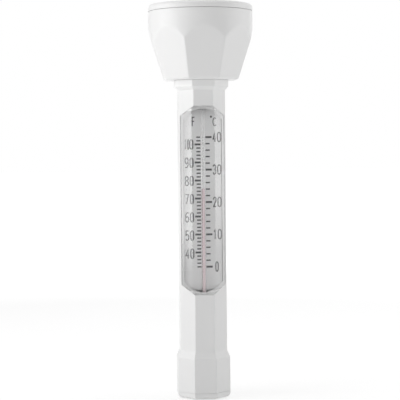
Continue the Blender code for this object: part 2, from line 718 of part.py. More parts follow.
def make_stem_rubber(material, stem_axis):
    """Cushion cap on the stem's top, and the flanged bush round it in the lower carrier."""
    cap_bottom = UPPER_CARRIER_BOTTOM + CLEARANCE
    cap_inside = STEM_TOP + CLEARANCE
    cap = [
        (0, cap_inside + STEM_CAP_WALL),
        (STEM_CAP_RADIUS, cap_inside + STEM_CAP_WALL),
        (STEM_CAP_RADIUS, cap_bottom),
        (STEM_RADIUS + CLEARANCE, cap_bottom),
        (STEM_RADIUS + CLEARANCE, cap_inside),
        (0, cap_inside),
    ]
    add_object("stem_cap", turned(cap, STEM_SIDES), material, parent=stem_axis)

    flange_bottom = LOWER_CARRIER_TOP + CLEARANCE
    bush_bottom = LOWER_CARRIER_BOTTOM + CLEARANCE
    bush = [
        (BUSH_INNER_RADIUS, BUSH_FLANGE_TOP),
        (BUSH_FLANGE_RADIUS, BUSH_FLANGE_TOP),
        (BUSH_FLANGE_RADIUS, flange_bottom),
        (BUSH_RADIUS, flange_bottom),
        (BUSH_RADIUS, bush_bottom),
        (BUSH_INNER_RADIUS, bush_bottom),
    ]
    add_object("bulb_bush", turned(bush, STEM_SIDES), material, parent=stem_axis)


def main():
    clear_scene()
    stem_axis = bpy.data.objects.new("stem_axis", None)
    stem_axis.location = Vector((0, STEM_Y, 0)) * METRES_PER_MM
    bpy.context.scene.collection.objects.link(stem_axis)

    white = make_material("white_plastic", WHITE, 0.3)
    clear = make_material("clear_plastic", CLEAR, 0.05, transmission=1.0)
    rubber = make_material("black_rubber", RUBBER, 0.8)
    steel = make_material("steel", STEEL, 0.4, metallic=1.0)
    carrier = make_material("inner_plastic", CARRIER_WHITE, 0.5)
    glass = make_material("glass", GLASS, 0.02, transmission=1.0)
    red = make_material("red_spirit", RED, 0.15)

    make_sleeve(white)
    make_neck_fittings(rubber, carrier)
    make_float_head(white)
    make_lid(white, rubber)
    make_lens(clear)
    make_foot(white, rubber)
    make_ballast(steel)
    make_carriers(carrier)
    make_plate(white)
    make_clip("stem_clip_lower", carrier, LOWER_CLIP_HEIGHT, stem_axis)
    make_clip("stem_clip_upper", carrier, UPPER_CLIP_HEIGHT, stem_axis)
    make_stem(glass, stem_axis)
    make_spirit(red, stem_axis)
    make_stem_rubber(rubber, stem_axis)


main()
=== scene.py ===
"""Looks of the floating thermometer: moulded shells, clear window, glass stem and printed scale.

Lengths are in millimetres in the part's own frame and become metres when a mesh is made.
The window faces -Y and the origin is the centre of the foot's underside.
"""

from math import asin, atan2, cos, hypot, pi, radians, sin, sqrt, tan

import bmesh
import bpy
from mathutils import Matrix, Vector


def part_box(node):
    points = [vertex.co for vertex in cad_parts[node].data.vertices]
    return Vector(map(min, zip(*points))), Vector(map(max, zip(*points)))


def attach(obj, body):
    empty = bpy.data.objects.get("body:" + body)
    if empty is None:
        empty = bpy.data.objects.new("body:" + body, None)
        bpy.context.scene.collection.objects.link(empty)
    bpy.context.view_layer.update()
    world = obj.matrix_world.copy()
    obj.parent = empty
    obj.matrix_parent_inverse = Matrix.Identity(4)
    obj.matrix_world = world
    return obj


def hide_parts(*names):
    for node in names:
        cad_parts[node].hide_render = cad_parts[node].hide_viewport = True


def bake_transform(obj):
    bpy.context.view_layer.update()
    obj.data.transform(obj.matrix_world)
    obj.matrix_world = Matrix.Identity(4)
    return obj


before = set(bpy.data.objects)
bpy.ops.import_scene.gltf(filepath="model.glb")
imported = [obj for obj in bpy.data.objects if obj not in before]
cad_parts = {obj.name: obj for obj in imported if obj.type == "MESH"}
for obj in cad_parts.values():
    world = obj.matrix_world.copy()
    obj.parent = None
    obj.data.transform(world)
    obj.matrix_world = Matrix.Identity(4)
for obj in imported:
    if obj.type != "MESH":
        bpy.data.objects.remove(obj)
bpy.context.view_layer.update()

MM = 0.001
SIDES = 8
HALF_SIDE = pi / SIDES

# How far a cutting shape reaches past what it cuts
CUT_THROUGH = 3.0

# Fineness of the meshes
ARC_STEPS = 6
FINE_ARC_STEPS = 8
CAP_ARC_STEPS = 10
CORNER_STEPS = 8
ARCH_STEPS = 24
ROUND_SIDES = 160
STEM_SIDES = 48
SPIRIT_ROWS = 40
HEAD_COLUMNS_PER_SIDE = 30
HEAD_COLUMN_CROWDING = 0.55
HEAD_ROW_SPACING = 0.6
HEAD_BORE_ROWS = 4
HEAD_RIM_STEPS = 3
WINDOW_RIM_STEPS = 2
STROKE_STEPS = 10
RING_STEPS = 16

# Angles in degrees up to which faces are shaded as one surface
SMOOTH_ANGLE = 35
HEAD_SMOOTH_ANGLE = 50
STEM_SMOOTH_ANGLE = 60
SHEET_SMOOTH_ANGLE = 30
LENS_SMOOTH_ANGLE = 20
NORMAL_WEIGHT = 80

# Sleeve, from the foot up
FOOT_APOTHEM = 13.8
FOOT_HEIGHT = 21.5
FLARE_TOP = 24.9
FLARE_LOWER_RADIUS = 2.0
FLARE_UPPER_RADIUS = 4.0
BODY_APOTHEM = 12.25
BODY_TOP = 161.9
BORE_APOTHEM = 10.4
COLLAR_APOTHEM = 13.9
COLLAR_CHAMFER_HEIGHT = 1.9
COLLAR_FILLET = 0.6
SEAT_APOTHEM = 12.3
SEAT_DEPTH = 1.2
SPIGOT_APOTHEM = 9.7
SPIGOT_BORE_APOTHEM = 8.1
BORE_TOP = 162.6
SLEEVE_EDGE_RADIUS = 0.75

# Foot cap
CAP_EDGE_RADIUS = 2.6
CAP_PLUG_APOTHEM = 10.1
CAP_PLUG_EDGE_RADIUS = 0.6

# Float head and lid
HEAD_RADIUS = 27.45
HEAD_WALL = 2.3
HEAD_FLOOR = 2.7
HEAD_FACET_HEIGHT = 27.1
HEAD_FOOT_APOTHEM = 19.0
HEAD_FOOT_FILLET = 1.6
HEAD_EDGE_RADIUS = 1.1
HEAD_ARCH_SOFTNESS = 0.3
HEAD_RIM_RADIUS = 0.22
NECK_APOTHEM = 10.0
LID_EDGE_RADIUS = 1.9
LID_PANEL_RADIUS = 21.5
LID_PANEL_DEPTH = 0.6
LID_PANEL_EDGE_RADIUS = 0.3
LID_SHEET = 1.8
LID_SKIRT_WALL = 2.0
LID_SKIRT_RADIUS = 24.9
LID_SKIRT_EDGE_RADIUS = 0.2

# Seams that show between neighbouring shells
SEAM = 0.07
LID_SEAM = 0.14
SEAM_EDGE_RADIUS = 0.07

# Window, its cover and the ledge behind the cover
WINDOW_HALF_WIDTH = 11.6
WINDOW_HALF_FLAT = 4.9
WINDOW_CORNER_HEIGHT = 5.0
WINDOW_GAP = 0.3
WINDOW_RIM_WIDTH = 0.18
LENS_VISUAL_GAP = 0.03
LENS_FRONT = 11.2
LENS_HALF_FLAT = 6.0
LENS_WALL = 0.65
LENS_SIDE_WALL = 0.5
LENS_EDGE_RADIUS = 0.2
LENS_INNER_EDGE_RADIUS = 0.1
SEAT_SIDE_WALL = 1.5
SEAT_LOWER_WALL = 1.2
SEAT_UPPER_WALL = 1.7
SEAT_ARCH_RADIUS = 12.0
RAIL_FRONT = -5.3
RAIL_POCKET_HALF_WIDTH = 14.6
RAIL_POCKET_RADIUS = 24.0
RAIL_STEP = 0.1
SEAT_NOTCH = 2.1

# How the window's outer edges are told from the sleeve's other edges
RIM_SEARCH_DEPTH = 0.3
RIM_SEARCH_HEIGHT = 0.1
RIM_LEAST_ANGLE = 30
RIM_WALL_TILT = 0.02

# Scale plate
PLATE_LOWER_GAP = 0.6
PLATE_UPPER_GAP = 0.15
PLATE_ARCH_RADIUS = 20.0

# Stem and the spirit in it
STEM_RADIUS = 1.35
STEM_X = 0.25
STEM_END_RADIUS = 0.3
STEM_BORE_RADIUS = 0.2
STEM_BORE_EDGE_RADIUS = 0.1
BULB_RADIUS = 2.6
BULB_WALL = 0.7
BULB_LENGTH = 17.5
BULB_SHOULDER = 2.5
BULB_SHOULDER_RADIUS = 1.5
BULB_TIP_FLAT = 0.25
BULB_TIP_RADIUS = 0.2
SPIRIT_RADIUS = 0.6
MENISCUS_HEIGHT = 0.5
MENISCUS_SHOULDER = 0.15
MENISCUS_SHOULDER_SHARE = 0.85
MENISCUS_TIP_SHARE = 0.4

# Printed scale, on the plate's front
SCALE_ZERO_HEIGHT = 69.1
DEGREE_PITCH = 1.7075
CELSIUS_TOP = 40
FAHRENHEIT_FREEZING = 32
FAHRENHEIT_TOP = 104
FAHRENHEIT_PER_CELSIUS = 9 / 5
TICK_STEP = 2
LABEL_STEP = 10
TICK_THICKNESS = 0.72
LONG_TICK_THICKNESS = 1.0
F_TICK_INNER = -0.8
F_SHORT_OUTER = -3.05
F_LONG_OUTER = -4.0
C_TICK_INNER = 1.35
C_SHORT_OUTER = 3.95
C_LONG_OUTER = 5.0
PRINT_THICKNESS = 0.03
LEAST_MITRE = 0.5

# Numbers: the left side and width of each digit's box
DIGIT_HEIGHT = 5.5
DIGIT_STROKE = 0.58
C_TENS = (5.5, 1.75)
C_ONES = (7.65, 2.2)
C_SINGLE = (6.3, 1.75)
F_TENS = (-9.2, 2.2)
F_ONES = (-6.6, 2.0)
F_HUNDRED_ONE = (-9.2, 1.0)
F_HUNDRED_TEN = (-7.85, 1.35)
F_HUNDRED = 100
F_FIRST_LABEL = 40
F_LABEL_DROP = 0.6
F_LABEL_DROP_PER_DEGREE = 0.01

# Unit signs: the lower left corner and the size of each sign's box
F_SIGN_PLACE = (-5.45, 142.9)
F_SIGN_SIZE = (1.8, 5.2)
C_SIGN_PLACE = (5.6, 143.2)
C_SIGN_SIZE = (1.9, 4.5)
C_SIGN_STROKE = 0.4
DEGREE_PLACE = (4.8, 148.1)
DEGREE_RADIUS = 0.3
DEGREE_STROKE = 0.5

# Colours, as linear red, green, blue and opacity; a pair is mixed by a noise
WHITE = (1, 1, 1, 1)
PLASTIC_COLOURS = ((0.80, 0.80, 0.80, 1), (0.83, 0.83, 0.825, 1))
CARRIER_COLOURS = ((0.68, 0.69, 0.70, 1), (0.73, 0.74, 0.75, 1))
PLATE_COLOURS = ((0.78, 0.78, 0.78, 1), (0.82, 0.82, 0.82, 1))
SPIRIT_COLOURS = ((0.90, 0.74, 0.77, 1), (0.94, 0.80, 0.83, 1))
# Dark colour painted as shade on the spirit's left side
SPIRIT_PAINTED_SHADE_COLOUR = (0.30, 0.20, 0.21, 1)
INK_COLOURS = ((0.012, 0.012, 0.013, 1), (0.04, 0.04, 0.042, 1))
RUBBER_COLOURS = ((0.02, 0.02, 0.022, 1), (0.05, 0.05, 0.052, 1))
STEEL_COLOURS = ((0.38, 0.39, 0.41, 1), (0.52, 0.53, 0.55, 1))
LENS_COLOUR = (0.975, 0.975, 0.975, 1)
LENS_SHADOW = (0.9, 0.9, 0.9, 1)
GLASS_COLOUR = (0.985, 0.985, 0.985, 1)
GLASS_SHADOW = (0.94, 0.94, 0.94, 1)
FLOOR_COLOUR = (0.5, 0.5, 0.5, 1)

# Roughness, as the two values that a noise moves between
PLASTIC_ROUGHNESS = (0.29, 0.33)
CARRIER_ROUGHNESS = (0.42, 0.55)
PLATE_ROUGHNESS = (0.45, 0.6)
CLEAR_ROUGHNESS = (0.0, 0.02)
SPIRIT_ROUGHNESS = (0.05, 0.12)
INK_ROUGHNESS = (0.45, 0.6)
RUBBER_ROUGHNESS = (0.6, 0.85)
STEEL_ROUGHNESS = (0.28, 0.45)
FLOOR_ROUGHNESS = 0.9

# Refraction and gloss
PLASTIC_INDEX = 1.5
PLASTIC_SPECULAR = 0.32
LENS_INDEX = 1.49
GLASS_INDEX = 1.47
SPIRIT_INDEX = 1.36

# Noises, in features per metre, and the values between which most of a noise lies
FLOW = {"scale": 60, "detail": 4, "stretch": (1, 1, 0.25)}
GLOSS = {"scale": 240, "detail": 3}
SKIN = {"scale": 2600, "detail": 2}
HAZE = {"scale": 300, "detail": 3}
RIPPLE = {"scale": 180, "detail": 2, "stretch": (1, 1, 0.12)}
CLOUD = {"scale": 500, "detail": 2, "stretch": (1, 1, 0.2)}
WEAR = {"scale": 1500, "detail": 3}
BLOOM = {"scale": 400, "detail": 4}
GRAIN = {"scale": 5000, "detail": 2}
RINGS = {"scale": 900, "detail": 2, "stretch": (0.05, 0.05, 1)}
NOISE_LOW = 0.3
NOISE_HIGH = 0.7

# Strength and depth of the bumps
SKIN_STRENGTH = 0.05
PLATE_SKIN_STRENGTH = 0.02
SKIN_DEPTH = 0.04
LENS_RIPPLE_STRENGTH = 0.004
GLASS_RIPPLE_STRENGTH = 0.0004
RIPPLE_DEPTH = 0.4
GRAIN_STRENGTH = 0.2
GRAIN_DEPTH = 0.05
RING_STRENGTH = 0.15
RING_DEPTH = 0.05

# X of the surface normal where the painted shade on the spirit's left side is full, and where it ends
SPIRIT_PAINTED_SHADE_FULL = -0.9
SPIRIT_PAINTED_SHADE_END = -0.45

# Camera
CAMERA_PLACE = (-64.323, -726.485, 133.822)
CAMERA_AZIMUTH = -4.98
CAMERA_PITCH = 2.326
CAMERA_ROLL = -0.52
CAMERA_LENS = 124.1
CAMERA_CLIP_START = 10.0
SENSOR = 36.0

# Lamps: the place and size of each softbox, and its power in watts
LAMP_AIM = (0, 0, 120)
LEFT_LAMP = {"place": (-700, -100, 220), "size": (560, 700), "power": 3.39}
LEFT_FRONT_LAMP = {"place": (-560, -420, 220), "size": (500, 700), "power": 0.62}
RIGHT_LAMP = {"place": (700, -60, 255), "size": (640, 780), "power": 2.1}
TOP_LAMP = {"place": (0, -50, 1000), "size": (600, 600), "power": 2.49}
BACK_LAMP = {"place": (250, 600, 450), "size": (1000, 1000), "power": 1.44}

# Shares of a softbox's height between which it fades, and its level below them
FADE_START = 0.185
FADE_END = 0.25
FADE_LEVEL = 0.17

# World and floor: their light on the object, and how they look
WORLD_LIGHT = 0.284
WORLD_GLOW = 1.0
GLOSS_SHARE = 0.4
FLOOR_HALF_SIZE = 6000.0
FLOOR_DROP = 0.2
# The floor glows as painted light on the object from below, and glows less near the object as painted shade
# on its lower part
FLOOR_LIGHT = {"near": 20.0, "far": 200.0, "near_level": 0.356, "far_level": 0.5}
FLOOR_GLOW = {"near": 450.0, "far": 850.0, "near_level": 0.56, "far_level": 0.87}


def lowest(node):
    """The lowest corner of a node's box, in millimetres."""
    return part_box(node)[0] / MM


def highest(node):
    """The highest corner of a node's box, in millimetres."""
    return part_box(node)[1] / MM


# Places taken from the frame
SLEEVE_BOTTOM = lowest("body_sleeve").z
CAP_HEIGHT = SLEEVE_BOTTOM - SEAM
CAP_PLUG_TOP = highest("foot_cap").z
HEAD_BOTTOM = lowest("float_head").z
HEAD_FLOOR_TOP = HEAD_BOTTOM + HEAD_FLOOR
HEAD_TOP = highest("float_head").z
SLEEVE_TOP = HEAD_BOTTOM - SEAM
LID_BOTTOM = HEAD_TOP + LID_SEAM
LID_TOP = highest("float_lid").z
LID_SKIRT_BOTTOM = lowest("float_lid").z
WINDOW_BOTTOM = lowest("window_lens").z - WINDOW_GAP
WINDOW_TOP = highest("window_lens").z + WINDOW_GAP
WINDOW_FRONT = -BODY_APOTHEM - CUT_THROUGH
LENS_BACK = highest("window_lens").y
WINDOW_BACK = LENS_BACK + WINDOW_GAP
PLATE_HALF_WIDTH = highest("scale_plate").x
PLATE_FRONT = lowest("scale_plate").y
PLATE_BACK = highest("scale_plate").y
STEM_Y = (lowest("glass_stem").y + highest("glass_stem").y) / 2
STEM_BOTTOM = lowest("glass_stem").z
STEM_TOP = highest("glass_stem").z
BULB_TOP = STEM_BOTTOM + BULB_LENGTH
CAPILLARY_BOTTOM = BULB_TOP + BULB_SHOULDER
READING_HEIGHT = highest("spirit_thread_upper").z


# Nodes of materials and lights

def feed(tree, socket, value):
    """Link another node's output to a socket, or set the socket to a plain value."""
    if isinstance(value, bpy.types.NodeSocket):
        tree.links.new(value, socket)
    else:
        socket.default_value = value


def map_range(tree, value, from_low, from_high, to_low, to_high):
    """A value carried from one range to another and held at its ends."""
    node = tree.nodes.new("ShaderNodeMapRange")
    feed(tree, node.inputs["Value"], value)
    feed(tree, node.inputs["From Min"], from_low)
    feed(tree, node.inputs["From Max"], from_high)
    feed(tree, node.inputs["To Min"], to_low)
    feed(tree, node.inputs["To Max"], to_high)
    return node.outputs["Result"]


def mathematics(tree, operation, first, second):
    """The result of a Math node."""
    node = tree.nodes.new("ShaderNodeMath")
    node.operation = operation
    feed(tree, node.inputs[0], first)
    feed(tree, node.inputs[1], second)
    return node.outputs["Value"]


def mix_colours(tree, share, first, second):
    """A colour between two others."""
    node = tree.nodes.new("ShaderNodeMix")
    node.data_type = "RGBA"
    feed(tree, node.inputs["Factor"], share)
    feed(tree, node.inputs["A"], first)
    feed(tree, node.inputs["B"], second)
    return node.outputs["Result"]


def add_noise(tree, scale, detail, stretch=(1, 1, 1)):
    """Noise in object coordinates."""
    coordinates = tree.nodes.new("ShaderNodeTexCoord")
    mapping = tree.nodes.new("ShaderNodeMapping")
    mapping.inputs["Scale"].default_value = stretch
    noise = tree.nodes.new("ShaderNodeTexNoise")
    noise.inputs["Scale"].default_value = scale
    noise.inputs["Detail"].default_value = detail
    tree.links.new(coordinates.outputs["Object"], mapping.inputs["Vector"])
    tree.links.new(mapping.outputs["Vector"], noise.inputs["Vector"])
    return noise.outputs["Fac"]


def add_bump(tree, shader, source, strength, depth):
    """Fine relief on a surface, with the depth in millimetres."""
    bump = tree.nodes.new("ShaderNodeBump")
    bump.inputs["Strength"].default_value = strength
    bump.inputs["Distance"].default_value = depth * MM
    tree.links.new(source, bump.inputs["Height"])
    tree.links.new(bump.outputs["Normal"], shader.inputs["Normal"])


def vary_colour(tree, shader, noise, colours):
    """Let a noise move the colour between two."""
    feed(tree, shader.inputs["Base Color"], mix_colours(tree, noise, *colours))


def vary_roughness(tree, shader, noise, roughness):
    """Let a noise move the roughness between two values."""
    level = map_range(tree, noise, NOISE_LOW, NOISE_HIGH, *roughness)
    feed(tree, shader.inputs["Roughness"], level)


# Materials

def new_material(name):
    """A material with its node tree and its shader."""
    material = bpy.data.materials.new(name)
    material.use_nodes = True
    shader = material.node_tree.nodes["Principled BSDF"]
    return material, material.node_tree, shader


def moulded(name, colours, roughness, skin_strength=SKIN_STRENGTH):
    """Moulded plastic: faint flow marks in the colour, uneven gloss and a fine skin."""
    material, tree, shader = new_material(name)
    vary_colour(tree, shader, add_noise(tree, **FLOW), colours)
    vary_roughness(tree, shader, add_noise(tree, **GLOSS), roughness)
    add_bump(tree, shader, add_noise(tree, **SKIN), skin_strength, SKIN_DEPTH)
    shader.inputs["IOR"].default_value = PLASTIC_INDEX
    shader.inputs["Specular IOR Level"].default_value = PLASTIC_SPECULAR
    return material


def lamps_pass(tree, shader, shadow):
    """Let rays from the lamps through a clear solid, so that what is behind it is lit."""
    output = tree.nodes["Material Output"]
    paths = tree.nodes.new("ShaderNodeLightPath")
    film = tree.nodes.new("ShaderNodeBsdfTransparent")
    film.inputs["Color"].default_value = shadow
    mixer = tree.nodes.new("ShaderNodeMixShader")
    tree.links.new(paths.outputs["Is Shadow Ray"], mixer.inputs["Fac"])
    tree.links.new(shader.outputs["BSDF"], mixer.inputs[1])
    tree.links.new(film.outputs["BSDF"], mixer.inputs[2])
    tree.links.new(mixer.outputs["Shader"], output.inputs["Surface"])


def clear_solid(name, colour, index, shadow, ripple_strength):
    """Clear plastic or glass with a slightly uneven surface."""
    material, tree, shader = new_material(name)
    shader.inputs["Base Color"].default_value = colour
    shader.inputs["Transmission Weight"].default_value = 1.0
    shader.inputs["IOR"].default_value = index
    vary_roughness(tree, shader, add_noise(tree, **HAZE), CLEAR_ROUGHNESS)
    add_bump(tree, shader, add_noise(tree, **RIPPLE), ripple_strength, RIPPLE_DEPTH)
    lamps_pass(tree, shader, shadow)
    return material


def dyed_spirit():
    """Pale dyed spirit with painted shade down its left side."""
    material, tree, shader = new_material("dyed_spirit")
    cloud = add_noise(tree, **CLOUD)
    core = mix_colours(tree, cloud, *SPIRIT_COLOURS)
    coordinates = tree.nodes.new("ShaderNodeTexCoord")
    split = tree.nodes.new("ShaderNodeSeparateXYZ")
    tree.links.new(coordinates.outputs["Normal"], split.inputs["Vector"])
    # Surfaces facing left get a dark colour: painted shade down the spirit's left side
    clear_of_painted_shade = map_range(tree, split.outputs["X"], SPIRIT_PAINTED_SHADE_FULL, SPIRIT_PAINTED_SHADE_END, 0, 1)
    vary_colour(tree, shader, clear_of_painted_shade, (SPIRIT_PAINTED_SHADE_COLOUR, core))
    vary_roughness(tree, shader, cloud, SPIRIT_ROUGHNESS)
    shader.inputs["IOR"].default_value = SPIRIT_INDEX
    return material


def ink():
    """Black print, worn a little unevenly."""
    material, tree, shader = new_material("scale_ink")
    wear = add_noise(tree, **WEAR)
    vary_colour(tree, shader, wear, INK_COLOURS)
    vary_roughness(tree, shader, wear, INK_ROUGHNESS)
    return material


def rubber():
    """Matt black rubber with a fine grain."""
    material, tree, shader = new_material("seal_rubber")
    bloom = add_noise(tree, **BLOOM)
    vary_colour(tree, shader, bloom, RUBBER_COLOURS)
    vary_roughness(tree, shader, bloom, RUBBER_ROUGHNESS)
    add_bump(tree, shader, add_noise(tree, **GRAIN), GRAIN_STRENGTH, GRAIN_DEPTH)
    return material


def turned_steel():
    """Bare steel with the rings that turning leaves."""
    material, tree, shader = new_material("turned_steel")
    rings = add_noise(tree, **RINGS)
    vary_colour(tree, shader, rings, STEEL_COLOURS)
    vary_roughness(tree, shader, rings, STEEL_ROUGHNESS)
    shader.inputs["Metallic"].default_value = 1.0
    add_bump(tree, shader, rings, RING_STRENGTH, RING_DEPTH)
    return material


WHITE_PLASTIC = moulded("white_plastic", PLASTIC_COLOURS, PLASTIC_ROUGHNESS)
CARRIER_PLASTIC = moulded("carrier_plastic", CARRIER_COLOURS, CARRIER_ROUGHNESS)
PLATE_WHITE = moulded("plate_white", PLATE_COLOURS, PLATE_ROUGHNESS, PLATE_SKIN_STRENGTH)
LENS_CLEAR = clear_solid("lens_clear", LENS_COLOUR, LENS_INDEX, LENS_SHADOW, LENS_RIPPLE_STRENGTH)
STEM_GLASS = clear_solid("stem_glass", GLASS_COLOUR, GLASS_INDEX, GLASS_SHADOW, GLASS_RIPPLE_STRENGTH)
SPIRIT = dyed_spirit()
INK = ink()
RUBBER = rubber()
STEEL = turned_steel()


# Shape helpers

def rounded_profile(corners, steps=ARC_STEPS):
    """Points of a closed profile, with an arc at each corner that has a radius as third value."""
    points = [Vector(corner[:2]) for corner in corners]
    profile = []
    for index, corner in enumerate(corners):
        here = points[index]
        if len(corner) == 2:
            profile.append(here)
            continue
        radius = corner[2]
        before = (points[index - 1] - here).normalized()
        after = (points[(index + 1) % len(points)] - here).normalized()
        half_angle = before.angle(after) / 2
        centre = here + (before + after).normalized() * (radius / sin(half_angle))
        start = here + before * (radius / tan(half_angle)) - centre
        turn = pi - 2 * half_angle
        if before.cross(after) > 0:
            turn = -turn
        for step in range(steps + 1):
            profile.append(centre + Matrix.Rotation(turn * step / steps, 2) @ start)
    return profile


def profile_to_axis(corners, steps=ARC_STEPS):
    """A rounded profile without its last two corners, which lie on the axis, where end faces close it."""
    return rounded_profile(corners, steps)[:-2]


def rounded_octagon(apothem, radius, height):
    """Loop of an octagon whose corners are arcs, with a flat side towards -Y."""
    loop = []
    reach = (apothem - radius) / cos(HALF_SIDE)
    for side in range(SIDES):
        corner = -pi / 2 + HALF_SIDE + 2 * HALF_SIDE * side
        for step in range(CORNER_STEPS + 1):
            angle = corner - HALF_SIDE + 2 * HALF_SIDE * step / CORNER_STEPS
            x = reach * cos(corner) + radius * cos(angle)
            y = reach * sin(corner) + radius * sin(angle)
            loop.append((x, y, height))
    return loop


def circle(radius, height, sides=ROUND_SIDES):
    """Loop of a circle round the Z axis."""
    loop = []
    for side in range(sides):
        angle = 2 * pi * side / sides
        loop.append((radius * cos(angle), radius * sin(angle), height))
    return loop


def add_skin(shape, loops, closed=False):
    """Skin loops of equal length; the ends are capped unless the last loop joins the first."""
    rings = [[shape.verts.new(point) for point in loop] for loop in loops]
    pairs = list(zip(rings, rings[1:]))
    if closed:
        pairs.append((rings[-1], rings[0]))
    for lower, upper in pairs:
        count = len(lower)
        for index in range(count):
            after = (index + 1) % count
            shape.faces.new((lower[index], lower[after], upper[after], upper[index]))
    if not closed:
        shape.faces.new(rings[0])
        shape.faces.new(rings[-1])


def loft(loops, closed=False):
    """A new shape with a skin over loops."""
    shape = bmesh.new()
    add_skin(shape, loops, closed)
    return shape


def prism(outline, front, back):
    """Extrude an outline of (x, z) points from one depth to another along Y."""
    return loft([[(x, front, z) for x, z in outline], [(x, back, z) for x, z in outline]])


def make_piece(name, shape, material, smooth_angle=SMOOTH_ANGLE):
    """Turn a shape in millimetres into an object in metres with clean normals."""
    bmesh.ops.recalc_face_normals(shape, faces=shape.faces[:])
    shape.transform(Matrix.Scale(MM, 4))
    mesh = bpy.data.meshes.new(name)
    shape.to_mesh(mesh)
    shape.free()
    piece = bpy.data.objects.new(name, mesh)
    bpy.context.scene.collection.objects.link(piece)
    if material:
        mesh.materials.append(material)
    shade(piece, smooth_angle)
    return piece


def shade(piece, smooth_angle=SMOOTH_ANGLE):
    """Shade a piece smooth, apart from its sharp edges."""
    piece.data.shade_smooth()
    piece.data.set_sharp_from_angle(angle=radians(smooth_angle))


def even_normals(piece):
    """Keep flat sides flat next to their narrow rounded edges."""
    modifier = piece.modifiers.new("even_normals", "WEIGHTED_NORMAL")
    modifier.keep_sharp = True
    modifier.weight = NORMAL_WEIGHT


def combine(piece, operation, shape):
    """Cut a piece with a shape or intersect the two, and apply the result."""
    tool = make_piece("tool", shape, None)
    modifier = piece.modifiers.new("combine", "BOOLEAN")
    modifier.operation = operation
    modifier.solver = "EXACT"
    modifier.object = tool
    graph = bpy.context.evaluated_depsgraph_get()
    result = bpy.data.meshes.new_from_object(piece.evaluated_get(graph))
    piece.modifiers.remove(modifier)
    old = piece.data
    piece.data = result
    result.name = piece.name
    bpy.data.meshes.remove(old)
    bpy.data.meshes.remove(tool.data)


def finish_piece(piece, body, slot, *nodes):
    """Put a piece on its body and in the place of its nodes; the slot is not used."""
    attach(piece, body)
    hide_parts(*nodes)


# Shells

def window_outline(inset):
    """The window's outline as (x, z) points, moved in by inset."""
    low = WINDOW_BOTTOM + WINDOW_CORNER_HEIGHT
    high = WINDOW_TOP - WINDOW_CORNER_HEIGHT
    right = [
        Vector((WINDOW_HALF_FLAT, WINDOW_BOTTOM)),
        Vector((WINDOW_HALF_WIDTH, low)),
        Vector((WINDOW_HALF_WIDTH, high)),
        Vector((WINDOW_HALF_FLAT, WINDOW_TOP)),
    ]
    left = [Vector((-corner.x, corner.y)) for corner in reversed(right)]
    corners = right + left
    outline = []
    for index, corner in enumerate(corners):
        before = (corner - corners[index - 1]).normalized()
        after = (corners[(index + 1) % len(corners)] - corner).normalized()
        clear_of_painted_shade = Vector((-before.y - after.y, before.x + after.x))
        moved = corner + clear_of_painted_shade * (inset / (1 + before.dot(after)))
        outline.append((moved.x, moved.y))
    return outline


def make_sleeve():
    """Octagonal tube with a flared foot, a collar and the window."""
    profile = rounded_profile(
        [
            (FOOT_APOTHEM, SLEEVE_BOTTOM, SEAM_EDGE_RADIUS),
            (FOOT_APOTHEM, FOOT_HEIGHT, FLARE_LOWER_RADIUS),
            (BODY_APOTHEM, FLARE_TOP, FLARE_UPPER_RADIUS),
            (BODY_APOTHEM, BODY_TOP, COLLAR_FILLET),
            (COLLAR_APOTHEM, BODY_TOP + COLLAR_CHAMFER_HEIGHT, COLLAR_FILLET),
            (COLLAR_APOTHEM, SLEEVE_TOP, SEAM_EDGE_RADIUS),
            (SEAT_APOTHEM, SLEEVE_TOP),
            (SEAT_APOTHEM, SLEEVE_TOP - SEAT_DEPTH),
            (SPIGOT_APOTHEM, SLEEVE_TOP - SEAT_DEPTH),
            (SPIGOT_APOTHEM, HEAD_FLOOR_TOP),
            (SPIGOT_BORE_APOTHEM, HEAD_FLOOR_TOP),
            (SPIGOT_BORE_APOTHEM, BORE_TOP),
            (BORE_APOTHEM, BORE_TOP),
            (BORE_APOTHEM, SLEEVE_BOTTOM),
        ]
    )
    loops = [rounded_octagon(apothem, SLEEVE_EDGE_RADIUS, height) for apothem, height in profile]
    sleeve = make_piece("sleeve_shell", loft(loops, closed=True), WHITE_PLASTIC)
    combine(sleeve, "DIFFERENCE", prism(window_outline(0), WINDOW_FRONT, WINDOW_BACK))
    soften_window(sleeve)
    shade(sleeve)
    even_normals(sleeve)
    finish_piece(sleeve, "float", "white_plastic", "body_sleeve")


def soften_window(sleeve):
    """Round the outer edge of the window."""
    shape = bmesh.new()
    shape.from_mesh(sleeve.data)
    rim = [edge for edge in shape.edges if is_window_edge(edge)]
    bmesh.ops.bevel(
        shape,
        geom=rim,
        offset=WINDOW_RIM_WIDTH * MM,
        segments=WINDOW_RIM_STEPS,
        profile=0.5,
        affect="EDGES",
        clamp_overlap=True,
    )
    shape.to_mesh(sleeve.data)
    shape.free()


def is_window_edge(edge):
    """Whether an edge of the sleeve lies between its outside and a wall of the window."""
    if len(edge.link_faces) != 2:
        return False
    middle = (edge.verts[0].co + edge.verts[1].co) / 2 / MM
    outer = apothem_at(middle) > BODY_APOTHEM - RIM_SEARCH_DEPTH
    beside = WINDOW_BOTTOM - RIM_SEARCH_HEIGHT < middle.z < WINDOW_TOP + RIM_SEARCH_HEIGHT
    wall = any(abs(face.normal.y) < RIM_WALL_TILT for face in edge.link_faces)
    return outer and beside and wall and edge.calc_face_angle(0) > radians(RIM_LEAST_ANGLE)


def apothem_at(point):
    """Distance from the axis to the octagon side that a point is on."""
    angle = atan2(point.y, point.x) + pi / 2
    turn = (angle + HALF_SIDE) % (2 * HALF_SIDE) - HALF_SIDE
    return hypot(point.x, point.y) * cos(turn)


def smooth_least(first, second, softness):
    """The smaller of two values, with a soft change from one to the other."""
    share = max(softness - abs(first - second), 0) / softness
    return min(first, second) - share * share * softness / 4


